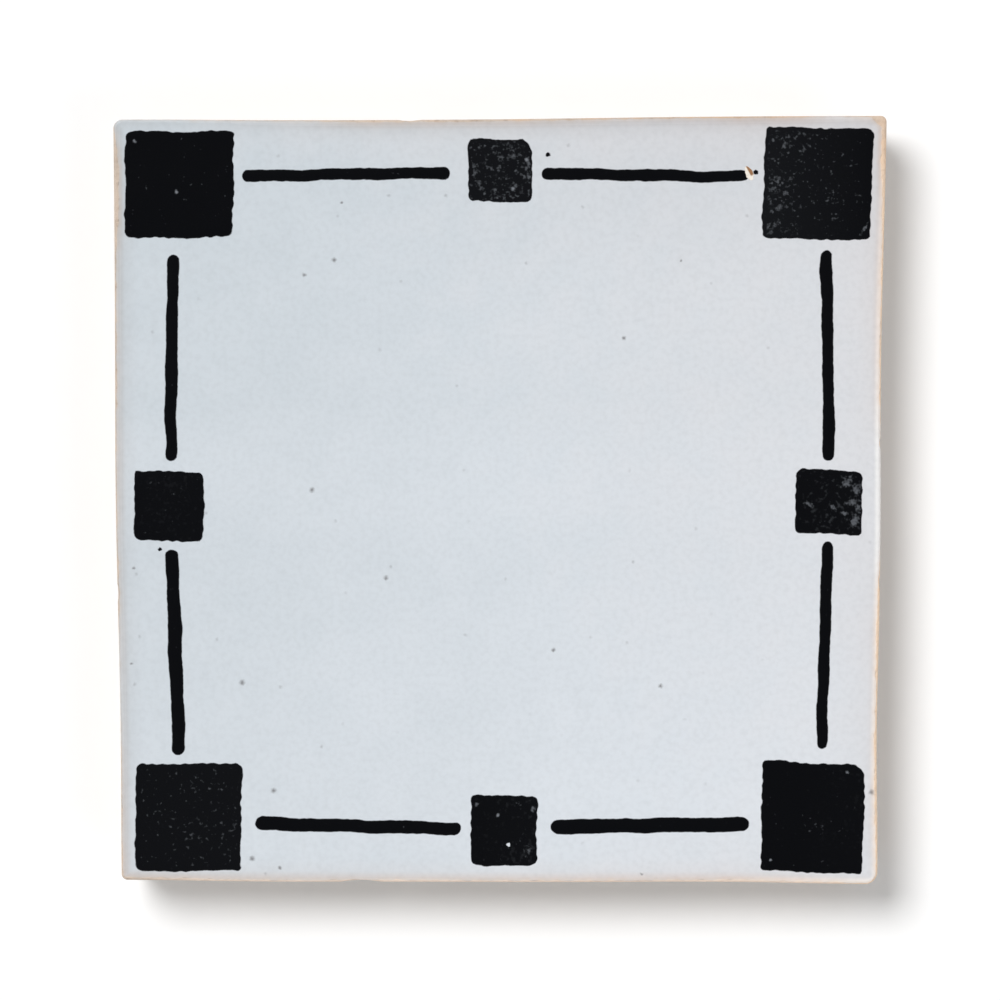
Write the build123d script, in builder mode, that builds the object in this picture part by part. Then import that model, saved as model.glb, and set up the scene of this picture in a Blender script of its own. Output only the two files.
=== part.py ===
"""Hand-cut zellige tile: one square of fired clay with a glazed face.

The tile lies on its back with the glazed face up. The origin is at the middle of the back,
X runs along the length, Y along the width and Z up through the glaze. Sizes are millimetres.
"""

import os
from math import cos, pi, sin

from build123d import *

# Overall size of the tile
TILE_LENGTH = 100.0
TILE_WIDTH = 100.0
TILE_THICKNESS = 12.0

# How far each corner of the face strays from a true rectangle, as (along X, along Y), and its
# radius, going round from the near left corner
CORNER_STRAY = [(0.44, 0.25), (-0.58, -0.33), (0.66, 0.34), (-0.66, -0.17)]
CORNER_RADII = [0.8, 1.6, 0.8, 1.2]

# How far each side bulges out (+) or dips in (-) at even steps from corner to corner,
# going round from the near side
SIDE_WANDER = [
    (0.11, 0.05, -0.01, -0.12, -0.19),
    (-0.31, -0.17, -0.19, -0.36, -0.21),
    (0.0, -0.09, -0.22, -0.23, -0.15),
    (0.04, 0.12, 0.2, 0.04, -0.08),
]

# Section of a side: a nearly upright band below the face, then a bevel chiselled to the back
EDGE_BAND_DEPTH = 4.5
EDGE_BAND_UNDERCUT = 0.25
BACK_BEVEL_UNDERCUT = 1.25
BACK_ARRIS_CHAMFER = 0.5
GLAZE_ARRIS_RADIUS = 0.5

# Unevenness of the glazed face: a low crown and a slow wave
CROWN_HEIGHT = 0.35
WAVE_HEIGHT = 0.12
WAVE_LENGTH = 62.0
FACE_GRID = 9
FACE_OVERHANG = 5.0

# Shell-shaped chips knocked out of the glaze arris of each side, going round from the near side:
# how far along the side each lies, its width and its depth into the face
SIDE_CHIPS = [[(0.32, 5.5, 0.35)], [(0.39, 2.4, 0.3), (0.57, 1.8, 0.25)], [(0.62, 3.2, 0.25)], [(0.62, 2.2, 0.25)]]
CHIP_DROP = 0.6


def face_corners(inset):
    """The four corners of the outline, moved in by inset, from the near left one round."""
    half_length = TILE_LENGTH / 2 - inset
    half_width = TILE_WIDTH / 2 - inset
    signs = [(-1, -1), (1, -1), (1, 1), (-1, 1)]
    return [
        Vector(sx * half_length + stray_x, sy * half_width + stray_y)
        for (sx, sy), (stray_x, stray_y) in zip(signs, CORNER_STRAY)
    ]


def side_ends(corners, side):
    """Start, end and direction of one side, between its two corner arcs."""
    following = (side + 1) % len(corners)
    along = (corners[following] - corners[side]).normalized()
    start = corners[side] + along * CORNER_RADII[side]
    end = corners[following] - along * CORNER_RADII[following]
    return start, end, along


def draw_outline(inset):
    """Draws the hand-cut outline, moved in by inset: wandering sides joined by corner arcs.

    Returns the four sides, from the near one round.
    """
    corners = face_corners(inset)
    sides = []
    for side, wander in enumerate(SIDE_WANDER):
        start, end, along = side_ends(corners, side)
        outward = along.rotate(Axis.Z, -90)
        step = (end - start) / (len(wander) + 1)
        between = [start + step * i + outward * bulge for i, bulge in enumerate(wander, 1)]
        sides.append(Spline(start, *between, end, tangents=[along, along]))
        next_start, _, _ = side_ends(corners, (side + 1) % len(corners))
        TangentArc(end, next_start, tangent=along)
    return sides


def face_height(x, y):
    """Height of the glaze at a point: a crown that falls to the sides, plus a slow wave."""
    fall = (2 * x / TILE_LENGTH) ** 2 + (2 * y / TILE_WIDTH) ** 2
    wave = sin(2 * pi * x / WAVE_LENGTH) * cos(2 * pi * y / WAVE_LENGTH)
    return TILE_THICKNESS - WAVE_HEIGHT - CROWN_HEIGHT * fall / 2 + WAVE_HEIGHT * wave


def glaze_surface():
    """The uneven glazed face as one smooth surface that overhangs the outline all round."""
    reach_x = TILE_LENGTH / 2 + FACE_OVERHANG
    reach_y = TILE_WIDTH / 2 + FACE_OVERHANG
    steps = [2 * i / (FACE_GRID - 1) - 1 for i in range(FACE_GRID)]
    points = [
        [Vector(reach_x * u, reach_y * v, face_height(reach_x * u, reach_y * v)) for v in steps]
        for u in steps
    ]
    return Face.make_surface_from_array_of_points(points)


def chip_ball(rim, share, width, depth):
    """Radius and centre of the ball whose bite into the rim leaves a chip of this size."""
    radius = (width**2 / 4 + depth**2) / (2 * depth)
    outward = (rim % share).rotate(Axis.Z, -90)
    middle = rim @ share + outward * (radius - depth)
    return radius, (middle.X, middle.Y, TILE_THICKNESS - CHIP_DROP)


with BuildPart() as tile:
    waist_height = TILE_THICKNESS - EDGE_BAND_DEPTH
    section = [
        (0, EDGE_BAND_UNDERCUT + BACK_BEVEL_UNDERCUT),
        (waist_height, EDGE_BAND_UNDERCUT),
        (TILE_THICKNESS + CROWN_HEIGHT, 0),
    ]
    for height, inset in section:
        with BuildSketch(Plane.XY.offset(height)):
            with BuildLine():
                sides = draw_outline(inset)
            make_face()
    loft(ruled=True)
    split(bisect_by=glaze_surface(), keep=Keep.BOTTOM)
    glaze_arris = faces().sort_by(Axis.Z)[-1].edges()
    fillet(glaze_arris, GLAZE_ARRIS_RADIUS)
    back_arris = faces().sort_by(Axis.Z)[0].edges()
    chamfer(back_arris, BACK_ARRIS_CHAMFER)
    for rim, chips in zip(sides, SIDE_CHIPS):
        for share, width, depth in chips:
            radius, centre = chip_ball(rim, share, width, depth)
            with Locations(centre):
                Sphere(radius, mode=Mode.SUBTRACT)

tile.part.label = "tile"
os.makedirs("parts", exist_ok=True)
export_step(tile.part, "parts/tile.step")
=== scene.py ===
"""Looks of a hand-cut zellige tile: white glaze, a black painted border and bare clay.

Sizes are millimetres, as in the part's source. MM turns them into Blender's metres where a mesh,
the camera or a lamp is made.
"""

from math import cos, pi, radians, sin, tan

import bpy
import numpy as np
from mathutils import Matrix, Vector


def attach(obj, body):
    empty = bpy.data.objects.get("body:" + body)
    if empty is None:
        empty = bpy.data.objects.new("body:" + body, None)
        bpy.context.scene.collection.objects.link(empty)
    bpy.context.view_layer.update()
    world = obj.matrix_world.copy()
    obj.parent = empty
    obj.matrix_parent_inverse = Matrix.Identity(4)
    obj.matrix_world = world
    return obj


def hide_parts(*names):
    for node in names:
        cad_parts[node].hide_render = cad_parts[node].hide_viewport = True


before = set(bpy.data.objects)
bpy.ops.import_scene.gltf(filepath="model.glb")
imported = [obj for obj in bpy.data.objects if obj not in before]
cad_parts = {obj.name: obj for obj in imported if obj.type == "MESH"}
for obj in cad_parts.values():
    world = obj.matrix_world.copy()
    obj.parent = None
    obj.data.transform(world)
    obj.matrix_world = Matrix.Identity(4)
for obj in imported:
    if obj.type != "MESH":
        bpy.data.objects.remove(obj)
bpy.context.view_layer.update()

# Metres to a millimetre, a distance that means nothing near, and one just clear of 0
MM = 0.001
FAR_AWAY = 9.0
TINY = 1e-6

# The tile as the part's source makes it
TILE_LENGTH = 100.0
TILE_WIDTH = 100.0
TILE_THICKNESS = 12.0
CORNER_STRAY = [(0.44, 0.25), (-0.58, -0.33), (0.66, 0.34), (-0.66, -0.17)]
CORNER_RADII = [0.8, 1.6, 0.8, 1.2]
SIDE_WANDER = [
    (0.11, 0.05, -0.01, -0.12, -0.19),
    (-0.31, -0.17, -0.19, -0.36, -0.21),
    (0.0, -0.09, -0.22, -0.23, -0.15),
    (0.04, 0.12, 0.2, 0.04, -0.08),
]
EDGE_BAND_DEPTH = 4.5
EDGE_BAND_UNDERCUT = 0.25
BACK_BEVEL_UNDERCUT = 1.25
BACK_ARRIS_CHAMFER = 0.5
GLAZE_ARRIS_RADIUS = 0.5
CROWN_HEIGHT = 0.35
WAVE_HEIGHT = 0.12
WAVE_LENGTH = 62.0
SIDE_CHIPS = [
    [(0.32, 5.5, 0.35)],
    [(0.39, 2.4, 0.3), (0.57, 1.8, 0.25)],
    [(0.62, 3.2, 0.25)],
    [(0.62, 2.2, 0.25)],
]
CHIP_DROP = 0.6

# Grid lines along each half of a side, from the corner in: start, end and number of cells.
# They are close over the rim, the painted border and the middle squares. The back has every
# BACK_STEP-th of them.
STATION_RUNS = [(0.0, 1.2, 8), (1.2, 17.7, 60), (17.7, 42.2, 40), (42.2, 50.0, 22)]
CORNER_SHARE = 0.01
BACK_STEP = 4

# Rows of the mesh down a side
ARRIS_ROWS = 8
BAND_ROWS = 6
BEVEL_ROWS = 8

# The map through which the finish is baked: the share of its width that the face takes, beside which
# the sides lie in strips and the back in the corner, the gap round each of them, and how much wider the
# square seen from above is than the tile
FACE_ROOM = 0.74
MAP_GAP = 0.005
MAP_MARGIN = 1.02

# Painted squares: middle, size, rise of the level edges to the right and lean of the upright
# edges' lower ends to the right in degrees, corner radii from the near left one round, then how much
# pale dust with painted glints and how many pale blotches show in the fill, and to which side they drift
# (-1 to 1)
SQUARES = [
    ((-41.93, 41.25), (14.1, 13.85), 0.5, -0.8, (1.1, 0.8, 0.6, 0.6), 0.0, 0.0, 0.0),
    ((41.57, 41.34), (14.2, 14.6), -0.9, -1.8, (0.7, 0.6, 1.2, 0.5), 1.0, 0.1, -0.46),
    ((-40.73, -41.53), (13.8, 14.0), 0.2, -0.4, (1.0, 0.5, 0.7, 0.8), 0.5, 0.0, 0.1),
    ((40.88, -41.55), (13.3, 14.4), -2.7, -1.6, (0.6, 0.3, 1.7, 0.3), 0.1, 0.05, 0.8),
    ((0.05, 43.08), (8.3, 8.2), -1.2, 0.2, (0.7, 0.8, 1.5, 0.8), 0.5, 0.9, 0.0),
    ((-43.28, -0.85), (9.1, 9.1), -2.3, -0.5, (1.0, 0.8, 0.7, 0.3), 0.15, 0.06, 0.2),
    ((43.02, -0.25), (8.7, 8.4), -3.2, -0.5, (0.6, 0.5, 1.0, 1.1), 0.1, 0.35, 0.3),
    ((0.54, -43.2), (8.7, 9.1), -1.1, -0.8, (0.8, 1.1, 0.8, 0.7), 0.25, 0.15, 0.4),
]

# Painted dashes: middle, length, width and turn to the left from level, in degrees. The last three
# are stray drops.
DASHES = [
    ((-20.15, 42.47), 27.15, 1.56, 0.7),
    ((19.02, 42.49), 27.1, 1.5, -0.8),
    ((42.77, 18.85), 27.6, 1.54, 90.8),
    ((42.5, -19.0), 27.1, 1.53, 88.3),
    ((-42.83, 18.5), 27.0, 1.6, 89.3),
    ((-42.45, -19.97), 26.75, 1.75, 92.0),
    ((-18.57, -42.6), 26.9, 1.78, -1.6),
    ((19.68, -42.62), 26.0, 1.95, 0.8),
    ((33.5, 42.74), 0.65, 0.6, 0.0),
    ((6.27, 45.15), 0.72, 0.68, 0.0),
    ((-44.45, -6.56), 0.6, 0.56, 0.0),
]
DASH_BOW = 0.1

# The painter's hand: slow wobble of all the marks, the shake of a drawn line and the ragged edge of
# a filled square, then the height of the black glaze and the way in over which it rises
HAND_SWAY = 0.06
HAND_SWAY_LENGTH = 6.0
LINE_SHAKE = 0.05
LINE_SHAKE_LENGTH = 2.2
RAGGED_EDGE = 0.09
RAGGED_LENGTH = 1.3
PAINT_HEIGHT = 0.02
PAINT_SHOULDER = 0.8

# Waves of the white glaze on top of the part's own crown and slow wave
GLAZE_SWELL = 0.025
GLAZE_SWELL_LENGTH = 18.0

# Sine waves in a ripple, and how their lengths spread about its own
RIPPLE_WAVES = 9
RIPPLE_SPREAD = (0.7, 1.5)

# Seeds of the random draws
SWAY_SEEDS = (11, 12)
SHAKE_SEED = 13
RAGGED_SEED = 14
SWELL_SEED = 21
STROKE_SEED = 31
SIDE_SEED = 32
BACK_SEEDS = (41, 42)
NICK_SEED = 51

# Where the glaze stops along each side, at even steps from corner to corner, going round from the
# near side: in from the middle of the arris (+) or down the side from it (-)
GLAZE_EDGE = [
    (0.3, 0.25, 0.2, 0.15, 0.15, 0.15, 0.17, 0.15, 0.15, 0.12, 0.1, 0.1, 0.15, 0.2, 0.2, 0.15, 0.05),
    (0.1, 0.25, 0.3, 0.25, 0.15, 0.3, 0.25, -0.4, -0.5, -0.4, 0.05, 0.1, 0.1, 0.15, 0.2, 0.65, 0.6),
    (0.4, -0.3, 0.1, 0.1, 0.05, 0.1, 0.1, 0.15, 0.2, 0.2, 0.2, 0.2, 0.0, -0.05, -0.1, -0.2, -0.3),
    (-0.2, 0.7, 0.55, 0.1, 0.1, 0.15, 0.1, 0.0, 0.05, 0.05, 0.2, -0.2, -0.3, -0.1, 0.0, 0.0, 0.15),
]

# How far the clay warms the thin glaze along each side, and how much painted shade greys and roughness
# dulls the rim there, at even steps
RIM_WARMTH = [
    (1.0, 0.9, 0.9, 0.9, 0.9, 0.9, 0.9, 0.9, 0.9, 0.9, 0.9, 0.9, 0.9, 0.9, 0.9, 0.6, 0.3),
    (0.3, 0.5, 0.5, 0.4, 0.4, 0.5, 0.3, 0.0, 0.0, 0.0, 0.4, 0.6, 0.7, 0.7, 0.6, 0.9, 0.9),
    (0.6, 0.2, 0.7, 0.7, 0.3, 0.3, 0.4, 0.6, 0.7, 0.7, 0.8, 0.8, 0.3, 0.2, 0.1, 0.1, 0.2),
    (0.2, 0.9, 0.9, 0.5, 0.5, 0.5, 0.5, 0.6, 0.6, 0.4, 0.4, 0.5, 0.4, 0.4, 0.6, 0.7, 0.9),
]
RIM_SHADE = [
    (0.5, 0.2, 0.1, 0.0, 0.0, 0.0, 0.0, 0.0, 0.0),
    (0.0, 0.0, 0.0, 0.0, 0.0, 0.0, 0.05, 0.15, 0.5),
    (0.5, 0.9, 1.0, 1.0, 1.0, 0.95, 0.7, 0.5, 0.45),
    (0.9, 1.0, 0.85, 0.8, 0.75, 0.75, 0.75, 0.75, 0.6),
]

# The glaze is worn off slantwise at the far right corner, where x and y add up to more than this
WORN_CORNER = 98.6

# Small nicks in the arris, besides the part's chips: how many, along which stretch of a side, and their
# sizes. A chip or nick shows clay where it is deeper than CHIP_CLAY_DEPTH, by CHIP_BARENESS times the
# rest.
RIM_NICKS = 34
NICK_STRETCH = (0.03, 0.97)
NICK_WIDTH = (0.6, 2.2)
NICK_DEPTH = (0.04, 0.12)
NICK_DROP = 0.4
CHIP_CLAY_DEPTH = 0.025
CHIP_BARENESS = 4.0
TANGENT_STEP = 0.01

# Rough clay of the sides: its grain, and the strokes of the chisel. A stroke strays by up to
# STROKE_STRAY of the way to the next, is at least STROKE_LEAST of the full depth, and reaches to either
# side by STROKE_REACH of its length. Both fade in below the arris, the strokes from the corners too.
SIDE_ROUGHNESS = 0.09
SIDE_ROUGH_LENGTH = 2.4
SIDE_FADE = (0.0, 1.5)
STROKE_LENGTH = 7.0
STROKE_DEPTH = 0.4
STROKE_LEAST = 0.35
STROKE_SLANT = 0.35
STROKE_STRAY = 0.3
STROKE_REACH = 0.6
STROKE_FADE = (0.8, 5.0)

# Hollows of the back, and how far its grid lies in from the foot of the sides
BACK_ROUGHNESS = 0.1
BACK_HOLLOW_LENGTHS = (5.0, 12.0)
BACK_INSET = 1.0

# Marks of the firing: pinholes in the white glaze, pale specks in the black and a white one as (x, y,
# radius), thin patches of the black as (x, y, length, width, turn), and a flake broken out of the end of
# a dash, with its middle, half its length and width, and its turn to the left from level
PINHOLES = [
    (48.6, -38.2, 0.32), (-21.7, 31.4, 0.26), (-25.6, 29.4, 0.22), (16.2, 21.2, 0.22),
    (-33.7, -23.9, 0.31), (-29.6, -38.0, 0.29), (-28.8, -48.1, 0.21), (-32.4, -46.9, 0.3),
    (-14.9, -10.2, 0.26), (7.0, -19.6, 0.24), (-24.6, 1.3, 0.29), (21.0, -24.3, 0.24),
    (23.7, 31.3, 0.16), (-48.2, -21.4, 0.17), (-47.9, -8.9, 0.18), (18.5, -48.9, 0.15),
    (-20.7, 38.9, 0.15),
]
PALE_SPECKS = [
    (-42.3, 40.3, 0.2), (-0.3, -41.2, 0.2), (1.7, 40.7, 0.22), (3.5, 44.5, 0.24),
    (35.4, -47.1, 0.16), (45.4, -35.6, 0.18), (-47.8, 46.9, 0.2),
]
WHITE_SPECK = (1.13, -45.08, 0.26)
PALE_PATCHES = [
    (45.4, 2.3, 1.6, 1.1, 60.0), (46.7, 1.4, 1.9, 0.9, 100.0), (46.1, -0.3, 1.9, 0.8, 10.0),
    (46.8, -1.0, 1.2, 0.8, -20.0), (46.4, -2.6, 1.7, 1.1, 70.0), (40.3, -0.5, 1.4, 0.6, -35.0),
    (43.5, -1.1, 1.4, 0.6, -40.0), (45.1, -1.8, 0.9, 0.5, 0.0), (3.7, 44.0, 1.4, 0.7, 95.0),
    (3.8, 42.4, 1.0, 0.6, 80.0), (3.9, -45.9, 0.9, 0.6, 30.0), (4.2, -40.3, 0.9, 0.5, 120.0),
    (-3.2, -40.0, 1.0, 0.5, 40.0), (47.65, 35.45, 1.9, 0.4, 52.0),
]
FLAKE_MIDDLE = (32.62, 42.66)
FLAKE_REACH = (0.95, 0.45)
FLAKE_TURN = -62.0

# Finishes, as display colours from 0 to 255
GLAZE_COOL = (203, 211, 217)
GLAZE_BRIGHT = (223, 228, 234)
GLAZE_WARM = (219, 219, 222)
RIM_PINK = (251, 236, 226)
# Painted shade: the grey that darkens the rim of the far and left sides and the far side
PAINTED_SHADE_GREY = (235, 235, 235)
# Painted highlight: the white of a bright line along the right arris
HIGHLIGHT_WHITE = (243, 242, 241)
BLACK_GLAZE = (10, 11, 14)
# Grey of the thinned black glaze, also the colour of the painted glints on its crumbs
BLACK_THIN = (112, 116, 122)
PINHOLE_GREY = (112, 110, 111)
CLAY_PALE = (214, 196, 180)
CLAY_ORANGE = (219, 188, 160)
CLAY_DARK = (158, 136, 118)
CLAY_CREAM = (240, 232, 220)
# Painted light on the arris that faces away from the key: pale, and golden to the right
CLAY_PAINTED_LIGHT = (247, 227, 211)
CLAY_PAINTED_LIGHT_GOLD = (250, 223, 196)
CLAY_BROWN = (150, 108, 72)
CLAY_BUFF = (200, 193, 184)
CLAY_STAIN = (180, 168, 156)

# Lengths of the noises that the finish is mixed from
CLOUD_LENGTH = 28.0
STAIN_LENGTH = 7.0
MOTTLE_LENGTH = 5.0
DIMPLE_LENGTH = 2.4
FRAY_LENGTH = 1.6
GRIT_LENGTH = 1.3
SPECKLE_LENGTH = 0.7
BLOT_LENGTH = 0.55
CRUMB_LENGTH = 0.5
FINE_LENGTH = 0.3

# Pairs below are where a change starts and where it is complete.
# White glaze: it goes from cool to bright and to warm over these ways, swayed by clouds and mottling,
# with a brighter band across the middle, a warmer margin, painted shade that greys the far side and fine
# speckles
BRIGHTER_RIGHT = 170.0
BRIGHTER_NEAR = 230.0
CLOUD_SWAY = 0.3
MOTTLE_SWAY = 0.35
BAND_FAR = (13.0, 6.0)
BAND_NEAR = (-9.0, 2.0)
BAND_SHARE = 0.13
WARMER_RIGHT = 90.0
WARMER_FAR = 200.0
WARM_SWAY = 0.4
WARM_MARGIN = (9.0, 1.0)
WARM_MARGIN_SHARE = 0.3
GREY_FAR = (26.0, 44.0)
GREYER_RIGHT = 250.0
GREY_SHARE = 0.17
SPECKLE_SWAY = 0.18
SPECKLE_SHARE = 0.02

# Rim of the glaze, by the way in from it: a narrow and a wide band, how much of the warmth and of the
# painted shade each has, and the painted highlight line along the right side. Then how far down the side
# the top reaches, where the painted shade stops, and how much less of the painted shade the clay has.
RIM_NARROW = (1.1, 0.0)
RIM_WIDE = (3.0, 0.2)
WARM_SHARES = (0.75, 0.25)
PAINTED_SHADE_SHARES = (0.6, 0.4)
PAINTED_HIGHLIGHT_BAND = (0.6, -0.1)
PAINTED_HIGHLIGHT_RIGHT = (25.0, 45.0)
TOP_DEPTH = (1.4, 0.6)
CLAY_SHADE_LESS = 0.4

# Dots: how far their outlines waver, how far a clear pinhole, a pale speck and the white speck reach as
# shares of their radii, and the scatter of faint pinholes
DOT_WAVER = 0.25
PINHOLE_REACH = (1.8, 0.0)
PINHOLE_SHARE = 0.8
PALE_REACH = (1.6, 0.2)
WHITE_REACH = (1.1, 0.7)
FAINT_SPACING = 8.0
FAINT_REACH = (0.35, 0.0)
FAINT_CHANCE = (0.55, 0.45)
FAINT_SHARE = 0.35

# Black glaze, by the way out from a mark, less than 0 inside it: its edge, then the crumbs of dust, which
# are partly painted glints, the blotches and the thin patches of the fill, each with how it is swayed,
# where it shows and how strongly
PAINT_EDGE = (0.07, -0.07)
PAINT_FRAY = 0.14
CRUMB_SWAY = 0.2
CRUMB_DUST = 0.2
CRUMB_LEVEL = (0.71, 0.98)
CRUMB_INSIDE = (-0.3, -0.9)
CRUMB_SHARE = 0.42
DUST_HAZE = 0.025
BLOT_HAZE = 0.006
BLOT_SWAY = 0.3
BLOT_LEVEL = (0.53, 0.8)
BLOT_INSIDE = (0.0, -0.5)
BLOT_SHARE = 0.5
PATCH_SPECKLE = 0.9
PATCH_FINE = 0.7
PATCH_LEVEL = (0.35, 0.95)
PATCH_INSIDE = (0.0, -0.3)
PATCH_SHARE = 0.58

# Clay, by its depth past the edge of the glaze: orange clouds, buff lower down, stains, dark grit and
# painted light, paler and golden to the right, on the arris where the rim has little painted shade,
# mostly the near and right sides that face away from the key
ORANGE_RIGHT = 260.0
ORANGE_LEVEL = (-0.1, 0.3)
BUFF_DEPTH = (0.5, 2.5)
BUFF_SHARE = 0.7
STAIN_LEVEL = (0.45, 0.7)
STAIN_SHARE = 0.5
GRIT_LEVEL = (0.5, 0.8)
GRIT_SHARE = 0.55
PAINTED_LIGHT_GOLD_RIGHT = (40.0, 49.0)
PAINTED_LIGHT_START = (-0.35, -0.05)
PAINTED_LIGHT_END = (1.3, 0.6)
PAINTED_LIGHT_UNSHADED = (0.6, 0.1)
PAINTED_LIGHT_SHARE = 0.85

# Where clay takes over from glaze: the slope of the worn corner, the fraying of the edge, and the clay
# seen through the thin glaze beside it. Then the flake, by shares of its reach, and its brown part.
CORNER_SLOPE = 0.7
EDGE_FRAY = 0.5
EDGE_SPECKLE = 0.15
CLAY_EDGE = (-0.08, 0.08)
CLAY_THROUGH = (-0.6, 0.0)
CLAY_THROUGH_SHARE = 0.3
FLAKE_EDGE = (1.1, 0.9)
FLAKE_FRAY = 0.9
BROWN_ASIDE = (-0.05, 0.12)
BROWN_ALONG = (0.5, 0.2)

# Gloss and fine relief: roughness of the glaze, what adds to it, that of the clay, and heights
GLAZE_ROUGH = 0.09
ROUGH_MOTTLE = 0.05
ROUGH_RIM = (1.0, 0.0)
ROUGH_DULLED = 0.35
ROUGH_THIN = 0.2
CLAY_ROUGH = 0.92
GLAZE_DIMPLES = 0.012
CLAY_GRAIN = 0.4
GLAZE_IOR = 1.5

# Studio
CAMERA_LENS = 250.0
CAMERA_SENSOR = 36.0
CAMERA_CLIP = 10.0
VIEW_WIDTH = 130.7
KEY_FROM = (-0.37, 0.37, 0.852)
KEY_SPREAD = 28.0
KEY_STRENGTH = 2.17
FILL_FROM = (0.62, -0.48, 0.62)
FILL_SPREAD = 36.0
FILL_STRENGTH = 0.36
FLOOR_REACH = 6000.0
FLOOR_GAP = 0.05

# Light tent: its level low down and how much more it gives higher up, and the dim opening overhead.
# The pairs are heights of a direction: 0 is level and 1 straight up.
TENT_LEVEL = 0.27
TENT_RISE = 0.24
TENT_WALL = (0.1, 0.5)
TENT_OPENING = (0.86, 0.95)
OPENING_LEVEL = 0.03


def ripples(points, length, seed):
    """Smooth unevenness with a spread of about 1: the sum of sine waves of about one length.

    Each wave has a seeded direction, length and phase. Points are (..., xyz) or (..., xy).
    """
    draw = np.random.default_rng(seed)
    heading = draw.normal(size=(points.shape[-1], RIPPLE_WAVES))
    heading /= np.linalg.norm(heading, axis=0)
    pace = 2 * pi / (length * draw.uniform(*RIPPLE_SPREAD, RIPPLE_WAVES))
    phase = draw.uniform(0, 2 * pi, RIPPLE_WAVES)
    return np.sin(points @ (heading * pace) + phase).sum(-1) * np.sqrt(2 / RIPPLE_WAVES)


def eased(value, start, end):
    """0 up to start and 1 from end, with the smooth step 3t^2 - 2t^3 between them."""
    share = np.clip((value - start) / (end - start), 0, 1)
    return share * share * (3 - 2 * share)


def level_spline(values, share):
    """The cubic spline through values at even steps of share, level at both ends.

    The slopes at the inner points solve s[i-1] + 4 s[i] + s[i+1] = 3 (v[i+1] - v[i-1]).
    """
    heights = np.array([0, *values, 0], float)
    inner = len(values)
    slopes = np.zeros(inner + 2)
    system = 4 * np.eye(inner) + np.eye(inner, k=1) + np.eye(inner, k=-1)
    slopes[1:-1] = np.linalg.solve(system, 3 * (heights[2:] - heights[:-2]))
    place = np.clip(share, 0, 1) * (inner + 1)
    start = np.minimum(place.astype(int), inner)
    t = place - start
    rise = heights[start + 1] - heights[start]
    bend = (slopes[start] - rise) * (1 - t) + (rise - slopes[start + 1]) * t
    return heights[start] + rise * t + t * (1 - t) * bend


def side_stations():
    """Places along a side from 0 to 1, as STATION_RUNS spaces them on each half."""
    runs = [np.linspace(start, end, cells, endpoint=False) for start, end, cells in STATION_RUNS]
    half = np.concatenate(runs) / TILE_LENGTH
    return np.concatenate([half, [0.5], 1 - half[::-1]])


def corner_arc(corner, before, after, radius, share):
    """A corner's quarter round: the cubic Bezier curve that leaves one side and meets the next."""
    handle = radius * 4 / 3 * (2**0.5 - 1)
    start = corner - before * radius
    end = corner + after * radius
    t = share[:, None]
    curve = (1 - t) ** 3 * start + t**3 * end
    return curve + 3 * t * (1 - t) * ((1 - t) * (start + before * handle) + t * (end - after * handle))


def outline(stations, inset, shrink=0.0):
    """The hand-cut outline moved in by inset, as an array of (side, station, xy), near side first.

    The first and last CORNER_SHARE of a side's stations lie on its corner arcs, whose radii are less
    by shrink. Between them runs the straight line from arc to arc, moved outwards by a spline
    through the side's wander.
    """
    radii = np.array(CORNER_RADII) - shrink
    signs = np.array([(-1, -1), (1, -1), (1, 1), (-1, 1)])
    corners = signs * (np.array([TILE_LENGTH, TILE_WIDTH]) / 2 - inset) + np.array(CORNER_STRAY)
    along = np.roll(corners, -1, axis=0) - corners
    along /= np.linalg.norm(along, axis=1, keepdims=True)
    share = (stations - CORNER_SHARE) / (1 - 2 * CORNER_SHARE)
    first_arc = 0.5 + 0.5 * np.clip(stations / CORNER_SHARE, 0, 1)
    last_arc = 0.5 * np.clip(1 + (stations - 1) / CORNER_SHARE, 0, 1)
    sides = []
    for side, wander in enumerate(SIDE_WANDER):
        following = (side + 1) % len(corners)
        start = corners[side] + along[side] * radii[side]
        end = corners[following] - along[side] * radii[following]
        outward = np.array([along[side][1], -along[side][0]])
        line = start + (end - start) * share[:, None]
        line = line + outward * level_spline(wander, share)[:, None]
        first = corner_arc(corners[side], along[side - 1], along[side], radii[side], first_arc)
        last = corner_arc(corners[following], along[side], along[following], radii[following], last_arc)
        line = np.where((stations < CORNER_SHARE)[:, None], first, line)
        sides.append(np.where((stations > 1 - CORNER_SHARE)[:, None], last, line))
    return np.array(sides)


def ring(stations, inset, shrink=0.0):
    """The outline as one closed loop of points, each corner once."""
    return outline(stations, inset, shrink)[:, :-1].reshape(-1, 2)


def patch(loop, stations):
    """A sheet spanned by the four sides of a loop: the Coons patch, which adds the blends of
    opposite sides and takes away the blend of the four corners."""
    near, right, far, left = loop[0], loop[1], loop[2, ::-1], loop[3, ::-1]
    u = stations[None, :, None]
    v = stations[:, None, None]
    across = (1 - v) * near[None] + v * far[None]
    upward = (1 - u) * left[:, None] + u * right[:, None]
    corners = (1 - v) * ((1 - u) * near[0] + u * near[-1]) + v * ((1 - u) * far[0] + u * far[-1])
    return across + upward - corners


def face_height(x, y):
    """Height of the glaze: a crown that falls to the sides, plus a slow wave, as in the part."""
    fall = (2 * x / TILE_LENGTH) ** 2 + (2 * y / TILE_WIDTH) ** 2
    wave = np.sin(2 * pi * x / WAVE_LENGTH) * np.cos(2 * pi * y / WAVE_LENGTH)
    return TILE_THICKNESS - WAVE_HEIGHT - CROWN_HEIGHT * fall / 2 + WAVE_HEIGHT * wave


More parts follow.
